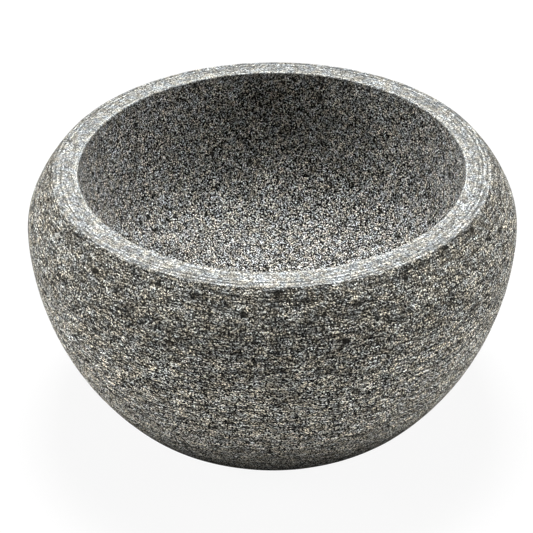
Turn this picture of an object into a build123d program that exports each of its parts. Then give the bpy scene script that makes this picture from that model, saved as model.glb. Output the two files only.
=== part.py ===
from build123d import *
from math import radians, sin
import os

# A molcajete turned and hollowed from one piece of fine-grained granite.
# Millimetres, +Z up. The bowl stands on z = 0 and its axis is Z.

# The flat ground rim runs from the mouth out to the start of the outer wall.
MOUTH_RADIUS = 79.0
RIM_OUTER_RADIUS = 88.7

# The edge between the rim and the cavity is broken, not rounded over.
LIP_ROUNDING = 0.6

# The outer wall, from the rim down to the base, as tangent arcs: the radius of
# each arc and the angle it turns. The angles add up to 180 degrees, because the
# wall leaves the rim level and outwards and meets the base level and inwards.
WALL_ARCS = {
    "rim edge": (1.6, 48.0),
    "shoulder": (55.0, 18.0),
    "knee": (26.5, 24.0),
    "belly": (119.0, 38.5),
    "turn under": (33.0, 43.5),
    "base edge": (5.0, 8.0),
}

# The cavity, from the mouth down, in the same way. It starts straight down, and
# one more arc, the dished floor, turns what is left of 90 degrees at the axis.
CAVITY_ARCS = {
    "side": (115.0, 20.0),
    "corner": (48.0, 50.0),
}

# Two fine lines that the turning tool left near the rim's outer edge.
RIM_LINE_RADII = (86.1, 87.9)
RIM_LINE_WIDTH = 0.8
RIM_LINE_DEPTH = 0.3


def tangent_arcs(start, heading, arcs):
    """Arcs that follow one another smoothly, each turning clockwise in the half section."""
    edges = []
    for radius, angle in arcs.values():
        edge = JernArc(start=start, tangent=heading, radius=radius, arc_size=-angle)
        edges.append(edge)
        start = edge @ 1
        heading = edge % 1
    return edges


def cavity_line():
    """The cavity in the half section, from the mouth to the middle of its floor."""
    upper = tangent_arcs((MOUTH_RADIUS, 0), (0, -1), CAVITY_ARCS)
    floor_start = upper[-1] @ 1
    floor_angle = 90 - sum(angle for _, angle in CAVITY_ARCS.values())
    floor_radius = floor_start.X / sin(radians(floor_angle))
    floor = JernArc(start=floor_start, tangent=upper[-1] % 1, radius=floor_radius, arc_size=-floor_angle)
    return upper + [floor]


def turned(line, *axis_points):
    """The solid of revolution inside a line and the points that close it along the axis."""
    closing = Polyline(line[-1] @ 1, *axis_points, line[0] @ 0)
    return revolve(Plane.XZ * make_face(line + closing.edges()), Axis.Z)


def rim_line(radius):
    """A shallow round-bottomed groove around the rim."""
    section_radius = (RIM_LINE_WIDTH**2 / 4 + RIM_LINE_DEPTH**2) / (2 * RIM_LINE_DEPTH)
    centre_height = section_radius - RIM_LINE_DEPTH
    return Pos(0, 0, centre_height) * Torus(radius, section_radius)


def bowl():
    """The finished bowl, modelled below its rim's plane and then stood on z = 0."""
    wall = tangent_arcs((RIM_OUTER_RADIUS, 0), (1, 0), WALL_ARCS)
    base_level = (wall[-1] @ 1).Y
    blank = turned(wall, (0, base_level), (0, 0))
    stone = blank - turned(cavity_line(), (0, 0))
    mouth_edge = stone.edges().filter_by(GeomType.CIRCLE).group_by(Axis.Z)[-1].sort_by(SortBy.RADIUS)[0]
    stone = fillet(mouth_edge, LIP_ROUNDING)
    for radius in RIM_LINE_RADII:
        stone -= rim_line(radius)
    return Pos(0, 0, -base_level) * stone


os.makedirs("parts", exist_ok=True)
molcajete_bowl = bowl()
export_step(molcajete_bowl, "parts/molcajete_bowl.step")

size = molcajete_bowl.bounding_box().size
depth = -(cavity_line()[-1] @ 1).Y
print(f"bowl: {size.X:.2f} mm wide, {size.Z:.2f} mm high, {molcajete_bowl.volume / 1e6:.3f} litres of stone")
print(f"cavity: {depth:.2f} mm deep")
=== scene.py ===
from math import cos, exp, pi, radians, sin, sqrt
from types import SimpleNamespace

import bpy
from mathutils import Euler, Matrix, Quaternion, Vector, noise


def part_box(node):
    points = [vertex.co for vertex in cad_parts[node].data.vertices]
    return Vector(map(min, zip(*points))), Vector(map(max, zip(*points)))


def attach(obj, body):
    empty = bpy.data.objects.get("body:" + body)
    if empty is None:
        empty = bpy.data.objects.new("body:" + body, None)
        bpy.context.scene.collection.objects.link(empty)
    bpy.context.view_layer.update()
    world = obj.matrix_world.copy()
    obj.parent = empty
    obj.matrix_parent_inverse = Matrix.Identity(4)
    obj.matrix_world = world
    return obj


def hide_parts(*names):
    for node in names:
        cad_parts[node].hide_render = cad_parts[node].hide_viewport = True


# A molcajete turned and hollowed from one granite stone. Metres, +Z up, the bowl's axis is Z.
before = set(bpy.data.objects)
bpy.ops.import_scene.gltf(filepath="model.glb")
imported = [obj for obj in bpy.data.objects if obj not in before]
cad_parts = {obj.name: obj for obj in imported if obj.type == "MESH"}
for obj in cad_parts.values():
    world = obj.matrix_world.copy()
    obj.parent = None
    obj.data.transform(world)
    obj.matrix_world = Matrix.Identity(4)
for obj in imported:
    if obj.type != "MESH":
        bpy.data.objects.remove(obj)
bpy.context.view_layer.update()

MM = 0.001
BOWL_NODE = "molcajete_bowl"
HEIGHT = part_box(BOWL_NODE)[1].z

# The half section is the CAD part's: a cavity of tangent arcs that ends in a dished floor,
# a broken lip, a flat rim, tangent arcs down the outer wall and a flat base. Each arc has
# its radius and the angle in degrees that it turns.
MOUTH_RADIUS = 79.0 * MM
LIP_ROUNDING = 0.6 * MM
RIM_OUTER_RADIUS = 88.7 * MM
CAVITY_ARCS = {
    "side": (115.0 * MM, 20.0),
    "corner": (48.0 * MM, 50.0),
}
WALL_ARCS = {
    "rim edge": (1.6 * MM, 48.0),
    "shoulder": (55.0 * MM, 18.0),
    "knee": (26.5 * MM, 24.0),
    "belly": (119.0 * MM, 38.5),
    "turn under": (33.0 * MM, 43.5),
    "base edge": (5.0 * MM, 8.0),
}

# Mesh: points around the bowl, and the spacing of the rings along the section in each zone.
AROUND = 256
RING_SPACING = {
    "cavity": 1.1 * MM,
    "lip": 0.18 * MM,
    "rim": 0.22 * MM,
    "wall": 0.75 * MM,
    "base": 4.5 * MM,
}

# Relief: what the tools took off the stone, always inwards. The sizes are how far apart the
# marks are; the reaches are how far from the lip and from the rim's outer edge chips are found.
WOBBLE = 0.12 * MM
WOBBLE_SIZE = 50 * MM
PECKING = 0.16 * MM
PECK_SIZE = 3.6 * MM
FINE_PECK_SIZE = 1.9 * MM
TURNING = 0.05 * MM
RIM_TURNING = 0.35 * TURNING
LONG_MARK_SPACING = 2.1 * MM
SHORT_MARK_SPACING = 1.3 * MM
CHIP = 0.45 * MM
CHIP_SIZE = 3.2 * MM
CHIP_RARITY = 0.12
LIP_CHIP_REACH = 1.2 * MM
EDGE_CHIP_REACH = 1.5 * MM

# Lines the tool left near the rim's outer edge: two grooves with a ridge between them.
RIM_LINES_RADIUS = 87.0 * MM
RIM_LINES_SPACING = 1.8 * MM
RIM_LINES_REACH = 2.0 * MM
RIM_LINES_DRIFT = 0.25 * MM
RIM_LINE_DEPTH = 0.3 * MM

# The painted highlight along the lip: its width, and how bright it is next to the painted
# highlight on a ridge, which is 1.
LIP_HIGHLIGHT_WIDTH = 1.5 * MM
LIP_HIGHLIGHT_STRENGTH = 0.45

# Sizes of the stone's patterns. The last three are drawn by the lathe: their length around the
# bowl before turning drew them out, and their height across the lines.
GRAIN = 0.38 * MM
PIT = 0.66 * MM
MOTTLE = 7 * MM
HUE_PATCH = 3 * MM
CLOT_SPACING = 5 * MM
CLOT_WARP_SCALE = 1.6 * MM
CLOT_WARP = 2.6 * MM
STREAK = (4 * MM, 0.7 * MM)
LONG_LINE = (12 * MM, 0.6 * MM)
SMEAR = (5 * MM, 1.3 * MM)

# How far turning drew the grains out around the rim and the wall, and how much finer they are.
DRAWN_OUT = 1.35
FINER = 1.15
LATHE_RADIUS = 95.0 * MM / DRAWN_OUT

# The grain's own axes lean away from the bowl's, so that no view looks along its rows.
GRAIN_LEAN = Euler((0.6, 0.4, 0.9)).to_matrix()

# Where the rim's ground finish starts to fade and where it has gone, and how raggedly it ends,
# in millimetres past the rim's outer edge.
GROUND_FADE = (-0.7, 0.7)
GROUND_RAGGED = 0.6

# Millimetres past the rim's outer edge over which the stone goes from smoother to fully rough,
# and how many times sooner that happens below the lip, in the cavity. What the mesh keeps of
# that distance ends at the nearest and the farthest.
ROUGHENING = (4, 45)
CAVITY_HASTE = 12
NEAREST = -3.0
FARTHEST = 100.0


def arc(centre, radius, start, end, spacing):
    """Points along an arc after its start; angles are from the +r direction towards +z."""
    count = max(2, round(radius * abs(end - start) / spacing))
    angles = [start + (end - start) * i / count for i in range(1, count + 1)]
    return [(centre[0] + radius * cos(a), centre[1] + radius * sin(a)) for a in angles]


def tangent_arcs(start, angle, arcs, spacing):
    """Points along arcs that follow one another smoothly, each turning clockwise."""
    points = [start]
    for radius, turned in arcs:
        r, z = points[-1]
        centre = (r - radius * cos(angle), z - radius * sin(angle))
        points += arc(centre, radius, angle, angle - radians(turned), spacing)
        angle -= radians(turned)
    return points


def cavity_section():
    """From the middle of the floor up to the mouth."""
    start = (MOUTH_RADIUS, HEIGHT)
    upper = tangent_arcs(start, 0.0, CAVITY_ARCS.values(), RING_SPACING["cavity"])
    floor_angle = 90 - sum(turned for _, turned in CAVITY_ARCS.values())
    floor_radius = upper[-1][0] / sin(radians(floor_angle))
    arcs = [*CAVITY_ARCS.values(), (floor_radius, floor_angle)]
    points = tangent_arcs(start, 0.0, arcs, RING_SPACING["cavity"])
    points = [p for p in points[:-1] if p[1] < HEIGHT - 2 * LIP_ROUNDING]
    return [(0.0, upper[-1][1] - floor_radius * (1 - cos(radians(floor_angle))))] + points[::-1]


def lip_section():
    start = (MOUTH_RADIUS, HEIGHT - LIP_ROUNDING)
    centre = (MOUTH_RADIUS + LIP_ROUNDING, HEIGHT - LIP_ROUNDING)
    return [start] + arc(centre, LIP_ROUNDING, pi, pi / 2, RING_SPACING["lip"])


def rim_section():
    start = MOUTH_RADIUS + LIP_ROUNDING
    width = RIM_OUTER_RADIUS - start
    count = round(width / RING_SPACING["rim"])
    return [(start + width * i / count, HEIGHT) for i in range(1, count + 1)]


def wall_section():
    points = tangent_arcs((RIM_OUTER_RADIUS, HEIGHT), pi / 2, WALL_ARCS.values(), RING_SPACING["wall"])
    return points[1:-1] + [(points[-1][0], 0.0)]


def base_section(edge_radius):
    count = round(edge_radius / RING_SPACING["base"])
    return [(edge_radius * (1 - i / count), 0.0) for i in range(1, count + 1)]


def section():
    """The whole half section from the cavity's floor round to the middle of the base, as
    (zone, r, z, length along the section so far) with the way that faces out of the stone."""
    wall = wall_section()
    zones = {
        "cavity": cavity_section(),
        "lip": lip_section(),
        "rim": rim_section(),
        "wall": wall,
        "base": base_section(wall[-1][0]),
    }
    stations = [(zone, r, z) for zone, points in zones.items() for r, z in points]
    lengths = [0.0]
    for before, here in zip(stations, stations[1:]):
        lengths.append(lengths[-1] + sqrt((here[1] - before[1]) ** 2 + (here[2] - before[2]) ** 2))
    out = []
    for i, (zone, r, z) in enumerate(stations):
        before = stations[max(i - 1, 0)]
        after = stations[min(i + 1, len(stations) - 1)]
        dr = after[1] - before[1]
        dz = after[2] - before[2]
        size = sqrt(dr * dr + dz * dz)
        out.append((zone, r, z, lengths[i], -dz / size, dr / size))
    return out


def wave(x, y, z, seed):
    """Smooth noise about zero, another one for each seed."""
    return noise.noise(Vector((x + seed, y, z)))


def rim_line(r, cos_a, sin_a):
    """A point's place in the rim's tool lines: -1 in a groove, 1 on a ridge. They wander and fade."""
    drift = RIM_LINES_DRIFT * wave(1.3 * cos_a, 1.3 * sin_a, 0.0, 5)
    offset = r - RIM_LINES_RADIUS - drift
    strength = 0.75 + 0.7 * wave(1.7 * cos_a, 1.7 * sin_a, offset / RIM_LINES_SPACING, 3)
    strength *= exp(-((offset / RIM_LINES_REACH) ** 2))
    return min(1.0, strength) * cos(2 * pi * offset / RIM_LINES_SPACING)


def edge_nearness(r, z):
    """How near a point is to the edges that chip: the lip and, less so, the rim's outer edge."""
    below = HEIGHT - z
    lip_distance = sqrt((r - MOUTH_RADIUS) ** 2 + below**2)
    edge_distance = sqrt((r - RIM_OUTER_RADIUS - 0.5 * MM) ** 2 + below**2)
    at_lip = exp(-((lip_distance / LIP_CHIP_REACH) ** 2))
    at_edge = exp(-((edge_distance / EDGE_CHIP_REACH) ** 2))
    return at_lip + 0.6 * at_edge


def relief(zone, x, y, z, r, along, cos_a, sin_a):
    """Depth taken off the ideal section at a point."""
    depth = WOBBLE * (0.5 + 0.5 * wave(x / WOBBLE_SIZE, y / WOBBLE_SIZE, z / WOBBLE_SIZE, 0))
    if zone == "cavity":
        coarse = wave(x / PECK_SIZE, y / PECK_SIZE, z / PECK_SIZE, 7)
        fine = wave(x / FINE_PECK_SIZE, y / FINE_PECK_SIZE, z / FINE_PECK_SIZE, 19)
        depth += PECKING * (0.5 + 0.35 * coarse + 0.3 * fine)
    if zone in ("wall", "rim"):
        long_marks = wave(3 * cos_a, 3 * sin_a, along / LONG_MARK_SPACING, 31)
        short_marks = wave(11 * cos_a, 11 * sin_a, along / SHORT_MARK_SPACING, 43)
        strength = TURNING if zone == "wall" else RIM_TURNING
        depth += strength * (1 + long_marks + 0.8 * short_marks)
    if zone == "rim":
        depth += RIM_LINE_DEPTH * 0.5 * (1 - rim_line(r, cos_a, sin_a))
    nearness = edge_nearness(r, z)
    if nearness > 0.01:
        crumb = wave(x / CHIP_SIZE, y / CHIP_SIZE, z / CHIP_SIZE, 61)
        depth += CHIP * nearness * max(0.0, crumb - CHIP_RARITY)
    return depth


def bowl_points(stations):
    """One point at each end of the section and a ring of them at every station between."""
    points = []
    for i, (zone, r, z, along, out_r, out_z) in enumerate(stations):
        at_axis = i in (0, len(stations) - 1)
        for k in range(1 if at_axis else AROUND):
            cos_a = cos(2 * pi * k / AROUND)
            sin_a = sin(2 * pi * k / AROUND)
            x = r * cos_a
            y = r * sin_a
            depth = 0.0 if zone == "base" else relief(zone, x, y, z, r, along, cos_a, sin_a)
            points.append((x - depth * out_r * cos_a, y - depth * out_r * sin_a, z - depth * out_z))
    return points


def bowl_faces(ring_count):
    """Faces from station to station, each with the number of the station it starts from."""
    faces = []
    last = 1 + ring_count * AROUND
    for k in range(AROUND):
        faces.append((0, (0, 1 + k, 1 + (k + 1) % AROUND)))
    for i in range(ring_count - 1):
        inner = 1 + i * AROUND
        outer = inner + AROUND
        for k in range(AROUND):
            n = (k + 1) % AROUND
            faces.append((i + 1, (inner + k, outer + k, outer + n, inner + n)))
    inner = last - AROUND
    for k in range(AROUND):
        faces.append((ring_count, (inner + k, last, inner + (k + 1) % AROUND)))
    return faces


def place_of(point, last):
    """The station and the step around the bowl that a mesh point belongs to."""
    if point == 0:
        return 0, 0
    if point == last:
        return 1 + (last - 1) // AROUND, 0
    return 1 + (point - 1) // AROUND, (point - 1) % AROUND


def add_texture_places(mesh, stations, face_stations):
    """Texture positions: the stone's own space in the cavity and under the base, and the lathe's
    space, drawn out around the axis, on the rim and the outer wall."""
    last = len(mesh.vertices) - 1
    grain_values = []
    lathe_values = []
    for face, start in zip(mesh.polygons, face_stations):
        drawn = stations[start + 1][0] in ("rim", "wall")
        for v in face.vertices:
            i, k = place_of(v, last)
            a = 2 * pi * k / AROUND
            around = Vector((LATHE_RADIUS * cos(a), LATHE_RADIUS * sin(a), stations[i][3]))
            lathe_values += around.to_tuple()
            place = FINER * around if drawn else mesh.vertices[v].co
            grain_values += (GRAIN_LEAN @ place).to_tuple()
    for name, values in (("grain_position", grain_values), ("lathe_position", lathe_values)):
        attribute = mesh.attributes.new(name, "FLOAT_VECTOR", "CORNER")
        attribute.data.foreach_set("vector", values)


def add_finishes(mesh, stations):
    """What was done to the stone at each point: turned or pecked, how far in millimetres past
    the rim's ground finish, and where in the rim's tool lines or beside the lip, which sets the
    rim's painted shade in the grooves and painted highlight on the ridge and along the lip."""
    last = len(mesh.vertices) - 1
    rim_edge = next(station[3] for station in stations if station[0] == "wall")
    values = {"turned": [], "past_rim": [], "rim_lines": []}
    for v in range(last + 1):
        i, k = place_of(v, last)
        zone, r, z, along = stations[i][:4]
        a = 2 * pi * k / AROUND
        past = (along - rim_edge) / MM
        if zone == "cavity":
            past = CAVITY_HASTE * (HEIGHT - LIP_ROUNDING - z) / MM
        line = 0.0
        if zone == "rim":
            line = rim_line(r, cos(a), sin(a))
        # a painted highlight along the lip
        if zone in ("lip", "rim") and r < MOUTH_RADIUS + LIP_HIGHLIGHT_WIDTH:
            line = LIP_HIGHLIGHT_STRENGTH
        values["turned"].append(1.0 if zone in ("rim", "wall") else 0.0)
        values["past_rim"].append(max(NEAREST, min(past, FARTHEST)))
        values["rim_lines"].append(line)
    for name in values:
        mesh.attributes.new(name, "FLOAT", "POINT").data.foreach_set("value", values[name])


def stone_bowl():
    stations = section()
    points = bowl_points(stations)
    faces = bowl_faces(len(stations) - 2)
    mesh = bpy.data.meshes.new("stone_bowl")
    mesh.from_pydata(points, [], [corners for _, corners in faces])
    mesh.update()
    mesh.shade_smooth()
    add_texture_places(mesh, stations, [start for start, _ in faces])
    add_finishes(mesh, stations)
    bowl = bpy.data.objects.new("stone_bowl", mesh)
    bpy.context.scene.collection.objects.link(bowl)
    return bowl


class Nodes:
    """Adds nodes to one material, with their settings and their inputs in one call."""

    def __init__(self, material):
        material.use_nodes = True
        self.tree = material.node_tree
        self.shader = self.tree.nodes["Principled BSDF"]

    def add(self, kind, settings=None, **inputs):
        node = self.tree.nodes.new("ShaderNode" + kind)
        for name, value in (settings or {}).items():
            setattr(node, name, value)
        for name, value in inputs.items():
            self.put(node.inputs[name.replace("_", " ")], value)
        return node

    def put(self, socket, value):
        if isinstance(value, bpy.types.NodeSocket):
            self.tree.links.new(value, socket)
        else:
            socket.default_value = value

    def math(self, operation, a, b=0.0, c=0.0):
        node = self.tree.nodes.new("ShaderNodeMath")
        node.operation = operation
        for socket, value in zip(node.inputs, (a, b, c)):
            self.put(socket, value)
        return node.outputs[0]

    def span(self, value, low, high, to_low=0.0, to_high=1.0):
        """The value carried from one range to another, and held at its ends."""
        node = self.tree.nodes.new("ShaderNodeMapRange")
        for socket, v in zip(node.inputs, (value, low, high, to_low, to_high)):
            self.put(socket, v)
        return node.outputs[0]

    def attribute(self, name):
        return self.add("Attribute", {"attribute_name": name})

    def noise(self, vector, size, detail=0.0, roughness=0.5):
        node = self.add("TexNoise", Vector=vector, Scale=1 / size, Detail=detail, Roughness=roughness)
        return node.outputs["Fac"]

    def lathe_noise(self, size, detail):
        """Noise in the lathe's space, this long around the axis and this tall across."""
        around, across = size
        stretch = self.add("VectorMath", {"operation": "MULTIPLY"})
        self.put(stretch.inputs[0], self.attribute("lathe_position").outputs["Vector"])
        self.put(stretch.inputs[1], (1 / around, 1 / around, 1 / across))
        return self.noise(stretch.outputs[0], 1.0, detail)

    def grey(self, value):
        return self.add("CombineXYZ", X=value, Y=value, Z=value).outputs[0]

    def times(self, a, b):
        return self.mix(1.0, a, b, "MULTIPLY")

    def mix(self, factor, a, b, blend="MIX"):
        node = self.tree.nodes.new("ShaderNodeMix")
        node.data_type = "RGBA"
        node.blend_type = blend
        for index, value in ((0, factor), (6, a), (7, b)):
            self.put(node.inputs[index], value)
        return node.outputs[2]

    def ramp(self, factor, stops, interpolation="LINEAR"):
        node = self.tree.nodes.new("ShaderNodeValToRGB")
        node.color_ramp.interpolation = interpolation
        self.put(node.inputs[0], factor)
        elements = node.color_ramp.elements
        while len(elements) < len(stops):
            elements.new(1.0)
        for element, (position, colour) in zip(elements, stops):
            element.position = position
            element.color = (*colour, 1)
        return node.outputs["Color"]


# Shares of the minerals: where each begins in a grain's random number, and its colour.
MINERALS = (
    (0.00, (0.008, 0.008, 0.007)),
    (0.24, (0.080, 0.075, 0.064)),
    (0.38, (0.215, 0.205, 0.182)),
    (0.53, (0.400, 0.397, 0.380)),
    (0.75, (0.425, 0.402, 0.366)),
    (0.775, (0.580, 0.582, 0.570)),
    (0.93, (0.700, 0.705, 0.700)),
)
GROUND_MINERALS = (
    (0.00, (0.040, 0.040, 0.039)),
    (0.14, (0.170, 0.172, 0.168)),
    (0.30, (0.310, 0.317, 0.308)),
    (0.54, (0.400, 0.408, 0.393)),
    (0.77, (0.410, 0.381, 0.347)),
    (0.79, (0.520, 0.531, 0.512)),
    (0.94, (0.680, 0.693, 0.668)),
)
CAVITY_TINT = (1.165, 1.17, 1.175, 1)
WALL_TINT = (1.0, 0.985, 0.925, 1)
WARM = (1.055, 1.0, 0.91, 1)
COOL = (0.95, 0.997, 1.06, 1)
CLOT = (0.012, 0.011, 0.009, 1)
CLOT_SHARE = 0.15
CLOT_CORE = (0.20, 0.32)
ROUGH_CLOT_COVER = 0.93
GROUND_CLOT_COVER = 0.35
SPECULAR = 0.1
ROUGHNESSES = (0.65, 0.95)

# Light and dark. Each line has the range of a pattern and the tones at its two ends. The pits'
# tones, painted shade in the pits and painted light on their crests, are those near the rim's
# edge and those where the stone is fully rough.
PIT_RANGE = (0.405, 0.54)
PIT_PAINTED_SHADE = (0.28, 0.0)
PIT_PAINTED_LIGHT = (1.6, 2.2)
JOINT_TONES = (0.30, 0.62, 1.15, 0.55)
MOTTLE_TONES = (0.3, 0.7, 0.78, 1.22)
# Painted shade at the foot: the tone falls from full at 34 mm above the base to a fifth at 12 mm, and
# stays a fifth below that and on the underside.
FOOT_PAINTED_SHADE = (12 * MM, 34 * MM, 0.2, 1.0)
STREAK_TONES = (0.35, 0.65, -0.43, 0.43)
LONG_LINE_TONES = (0.35, 0.65, 0.33, -0.33)
LATHE_STRENGTH = (1.0, 1.3)
SHOULDER_TONES = (1, 14, 0.17, 0.0)
GROUND_TONES = (0.3, 1.7, 0.36, 1.54)
# Painted shade in the rim's tool grooves and painted highlight on their ridge and along the lip.
RIM_LINE_PAINTED_SHADE_AND_HIGHLIGHT = (-1, 1, 0.32, 1.62)

# Painted light on the rim: its tone at its two ends along Y, painted lighter on the -Y side.
RIM_PAINTED_LIGHT = (1.29, 0.98)

# The finest relief, which is only in the material: its depth, and how high each part of it
# stands in that. Less of it is left where the rim is ground, and more where the stone is pecked.
BUMP_DEPTH = 0.3 * MM
PIT_HEIGHTS = (0.3, 0.7, 0.0, 1.4)
GRAIN_HEIGHT = 0.3
STREAK_HEIGHT = 1.2
LONG_LINE_DEPTHS = (0.4, 0.65, 0.0, 0.8)
CLOT_DEPTH = 0.8
GROUND_SHARE = 0.35
PECKED_SHARE = 1.8


def stone_fields(n):
    """The patterns that the stone's colour and its relief are both made from, 0 to 1."""
    f = SimpleNamespace()
    f.position = n.attribute("grain_position").outputs["Vector"]
    f.turned = n.attribute("turned").outputs["Fac"]
    f.past_rim = n.attribute("past_rim").outputs["Fac"]
    f.rim_lines = n.attribute("rim_lines").outputs["Fac"]
    f.place = n.add("SeparateXYZ", Vector=n.add("TexCoord").outputs["Object"]).outputs
    grains = n.add("TexVoronoi", Vector=f.position, Scale=1 / GRAIN)
    f.joint = grains.outputs["Distance"]
    f.grain = n.add("SeparateColor", Color=grains.outputs["Color"]).outputs
    f.pits = n.noise(f.position, PIT)
    f.mottle = n.noise(f.position, MOTTLE, 3.0, 0.6)
    f.hue = n.noise(f.position, HUE_PATCH, 1.0)
    f.streaks = n.lathe_noise(STREAK, 1.0)
    f.long_lines = n.lathe_noise(LONG_LINE, 1.0)
    ragged = n.math("SUBTRACT", n.lathe_noise(SMEAR, 3.0), 0.5)
    reach = n.math("MULTIPLY_ADD", ragged, 4 * GROUND_RAGGED, f.past_rim)
    f.ground = n.span(reach, *GROUND_FADE, 1.0, 0.0)
    f.clot = clots(n, f.position)
    return f


def clots(n, position):
    """Dark clots of mineral: irregular blobs in about one in seven of the cells."""
    warp = n.add("TexNoise", Vector=position, Scale=1 / CLOT_WARP_SCALE, Detail=1.0)
    warped = n.add("VectorMath", {"operation": "MULTIPLY_ADD"})
    n.put(warped.inputs[0], warp.outputs["Color"])
    n.put(warped.inputs[1], (CLOT_WARP, CLOT_WARP, CLOT_WARP))
    n.put(warped.inputs[2], position)
    cells = n.add("TexVoronoi", Vector=warped.outputs[0], Scale=1 / CLOT_SPACING)
    chance = n.add("SeparateColor", Color=cells.outputs["Color"]).outputs["Red"]
    core = n.span(cells.outputs["Distance"], *CLOT_CORE, 1.0, 0.0)
    return n.math("MULTIPLY", n.math("LESS_THAN", chance, CLOT_SHARE), core)


def stone_shade(n, f):
    """Light and dark of the stone, around 1: painted shade in the pits and painted light on their
    crests, joints between grains, mottling, painted shade darkening the foot and, where it was
    turned, streaks and a darker shoulder."""
    # painted shade in the pits of the relief and painted light on their crests
    pit_shade = n.span(f.past_rim, *ROUGHENING, *PIT_PAINTED_SHADE)
    crest_light = n.span(f.past_rim, *ROUGHENING, *PIT_PAINTED_LIGHT)
    shade = n.span(f.pits, *PIT_RANGE, pit_shade, crest_light)
    shade = n.math("MULTIPLY", shade, n.span(f.joint, *JOINT_TONES))
    shade = n.math("MULTIPLY", shade, n.span(f.mottle, *MOTTLE_TONES))
    # painted shade: darker towards the foot and on the underside
    shade = n.math("MULTIPLY", shade, n.span(f.place["Z"], *FOOT_PAINTED_SHADE))
    streak = n.span(f.streaks, *STREAK_TONES)
    streak = n.math("ADD", streak, n.span(f.long_lines, *LONG_LINE_TONES))
    streak = n.math("MULTIPLY", streak, n.span(f.past_rim, *ROUGHENING, *LATHE_STRENGTH))
    streak = n.math("SUBTRACT", streak, n.span(f.past_rim, *SHOULDER_TONES))
    return n.math("MULTIPLY", shade, n.math("MULTIPLY_ADD", f.turned, streak, 1.0))


def rough_colour(n, f, shade):
    """Pecked and turned stone."""
    colour = n.ramp(f.grain["Red"], MINERALS, "CONSTANT")
    colour = n.times(colour, n.mix(f.turned, CAVITY_TINT, WALL_TINT))
    colour = n.times(colour, n.grey(shade))
    return n.mix(n.math("MULTIPLY", f.clot, ROUGH_CLOT_COVER), colour, CLOT)


def ground_colour(n, f, shade):
    """The rim: paler, more even, with painted shade in its tool grooves, painted highlight on
    their ridge and along the lip, and painted light that is brighter towards -Y.
    """
    colour = n.ramp(f.grain["Red"], GROUND_MINERALS, "CONSTANT")
    tone = n.span(shade, *GROUND_TONES)
    # painted light: the rim's tone is painted lighter towards -Y
    side = n.span(f.place["Y"], -RIM_OUTER_RADIUS, RIM_OUTER_RADIUS, *RIM_PAINTED_LIGHT)
    tone = n.math("MULTIPLY", tone, side)
    # painted shade in the rim's grooves and painted highlight on their ridge and along the lip
    tone = n.math("MULTIPLY", tone, n.span(f.rim_lines, *RIM_LINE_PAINTED_SHADE_AND_HIGHLIGHT))
    colour = n.times(colour, n.grey(tone))
    return n.mix(n.math("MULTIPLY", f.clot, GROUND_CLOT_COVER), colour, CLOT)


def stone_relief(n, f):
    """Height of the finest relief: pits, grains, streaks and lines, shallow where ground."""
    height = n.math("MULTIPLY_ADD", f.grain["Blue"], GRAIN_HEIGHT, n.span(f.pits, *PIT_HEIGHTS))
    lathe = n.math("MULTIPLY", f.streaks, STREAK_HEIGHT)
    lathe = n.math("SUBTRACT", lathe, n.span(f.long_lines, *LONG_LINE_DEPTHS))
    height = n.math("MULTIPLY_ADD", f.turned, lathe, height)
    height = n.math("SUBTRACT", height, n.math("MULTIPLY", f.clot, CLOT_DEPTH))
    height = n.math("MULTIPLY", height, n.span(f.ground, 0, 1, 1.0, GROUND_SHARE))
    return n.math("MULTIPLY", height, n.span(f.turned, 0, 1, PECKED_SHARE, 1.0))


def granite():
    material = bpy.data.materials.new("granite")
    n = Nodes(material)
    f = stone_fields(n)
    shade = stone_shade(n, f)
    colour = n.mix(f.ground, rough_colour(n, f, shade), ground_colour(n, f, shade))
    colour = n.times(colour, n.mix(n.span(f.hue, 0.35, 0.65), COOL, WARM))
    bump = n.add("Bump", Height=stone_relief(n, f), Strength=1.0, Distance=BUMP_DEPTH)
    n.put(n.shader.inputs["Base Color"], colour)
    n.put(n.shader.inputs["Roughness"], n.span(f.grain["Green"], 0, 1, *ROUGHNESSES))
    n.put(n.shader.inputs["Normal"], bump.outputs[0])
    n.shader.inputs["Specular IOR Level"].default_value = SPECULAR
    return material


def plain(name, colour, roughness):
    material = bpy.data.materials.new(name)
    shader = Nodes(material).shader
    shader.inputs["Base Color"].default_value = (*colour, 1)
    shader.inputs["Roughness"].default_value = roughness
    return material


# The floor: from its middle to its sides, its grey, and the share of it that glows.
FLOOR_REACH = 3.0
FLOOR_GREY = 0.8
FLOOR_GLOW = 0.92


def studio_floor():
    """A pale floor. The camera sees it mostly glowing, as a light table, so shadows stay light."""
    corners = [(-1, -1), (1, -1), (1, 1), (-1, 1)]
    mesh = bpy.data.meshes.new("floor")
    mesh.from_pydata([(x * FLOOR_REACH, y * FLOOR_REACH, 0) for x, y in corners], [], [(0, 1, 2, 3)])
    material = plain("pale_floor", (FLOOR_GREY, FLOOR_GREY, FLOOR_GREY), 0.9)
    n = Nodes(material)
    seen = n.add("LightPath").outputs["Is Camera Ray"]
    glow = n.add("Emission")
    both = n.add("MixShader")
    n.put(both.inputs[0], n.math("MULTIPLY", seen, FLOOR_GLOW))
    n.put(both.inputs[1], n.shader.outputs[0])
    n.put(both.inputs[2], glow.outputs[0])
    n.put(n.tree.nodes["Material Output"].inputs["Surface"], both.outputs[0])
    mesh.materials.append(material)
    floor = bpy.data.objects.new("floor", mesh)
    bpy.context.scene.collection.objects.link(floor)


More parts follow.
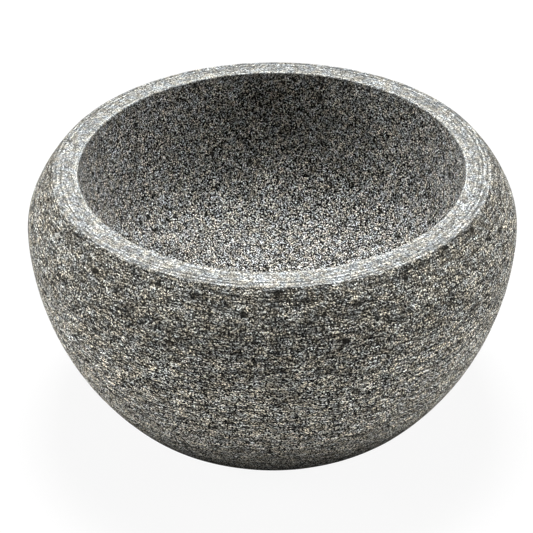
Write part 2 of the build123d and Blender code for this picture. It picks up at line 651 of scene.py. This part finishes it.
# Softboxes: tilt from straight up and bearing from +X, both in degrees, size and power.
LIGHT_DISTANCE = 1.4
SOFTBOXES = {
    "key": (14, 90, 0.5, 28.0),
    "back": (24, 90, 0.5, 10.5),
    "left": (77, 180, 0.6, 13.1),
    "right": (73, 0, 0.6, 9.7),
}


def softboxes():
    aim = Vector((0, 0, HEIGHT / 2))
    for name, (tilt, bearing, size, power) in SOFTBOXES.items():
        tilt = radians(tilt)
        bearing = radians(bearing)
        away = Vector((sin(tilt) * cos(bearing), sin(tilt) * sin(bearing), cos(tilt)))
        data = bpy.data.lights.new(name, "AREA")
        data.size = size
        data.energy = power
        light = bpy.data.objects.new(name, data)
        light.location = aim + LIGHT_DISTANCE * away
        light.rotation_euler = away.to_track_quat("Z", "Y").to_euler()
        bpy.context.scene.collection.objects.link(light)


def surroundings():
    """White behind everything the camera sees. It lights nothing: the softboxes do that."""
    world = bpy.data.worlds.new("studio")
    world.use_nodes = True
    background = world.node_tree.nodes["Background"]
    background.inputs["Color"].default_value = (1, 1, 1, 1)
    seen = world.node_tree.nodes.new("ShaderNodeLightPath").outputs["Is Camera Ray"]
    world.node_tree.links.new(seen, background.inputs["Strength"])
    bpy.context.scene.world = world


# The camera: lens and sensor in millimetres, how far it looks down and how far it leans, and
# how far it is from the point on the axis that it looks at, which is this far below the rim.
LENS = 108.0
SENSOR = 36.0
SHIFT = -0.0116
PITCH = radians(34.34)
ROLL = radians(-0.45)
CAMERA_DISTANCE = 0.6837
TARGET_DEPTH = 51.85 * MM


def camera():
    data = bpy.data.cameras.new("camera")
    data.lens = LENS
    data.sensor_width = SENSOR
    data.shift_x = SHIFT
    view = bpy.data.objects.new("camera", data)
    target = Vector((0, 0, HEIGHT - TARGET_DEPTH))
    away = Vector((0, -cos(PITCH), sin(PITCH)))
    view.location = target + CAMERA_DISTANCE * away
    view.rotation_mode = "QUATERNION"
    view.rotation_quaternion = away.to_track_quat("Z", "Y") @ Quaternion((0, 0, 1), ROLL)
    bpy.context.scene.collection.objects.link(view)
    bpy.context.scene.camera = view


bowl = stone_bowl()
bowl.data.materials.append(granite())
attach(bowl, "root")
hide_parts(BOWL_NODE)

studio_floor()
softboxes()
surroundings()
camera()
bpy.context.scene.view_settings.view_transform = "Standard"
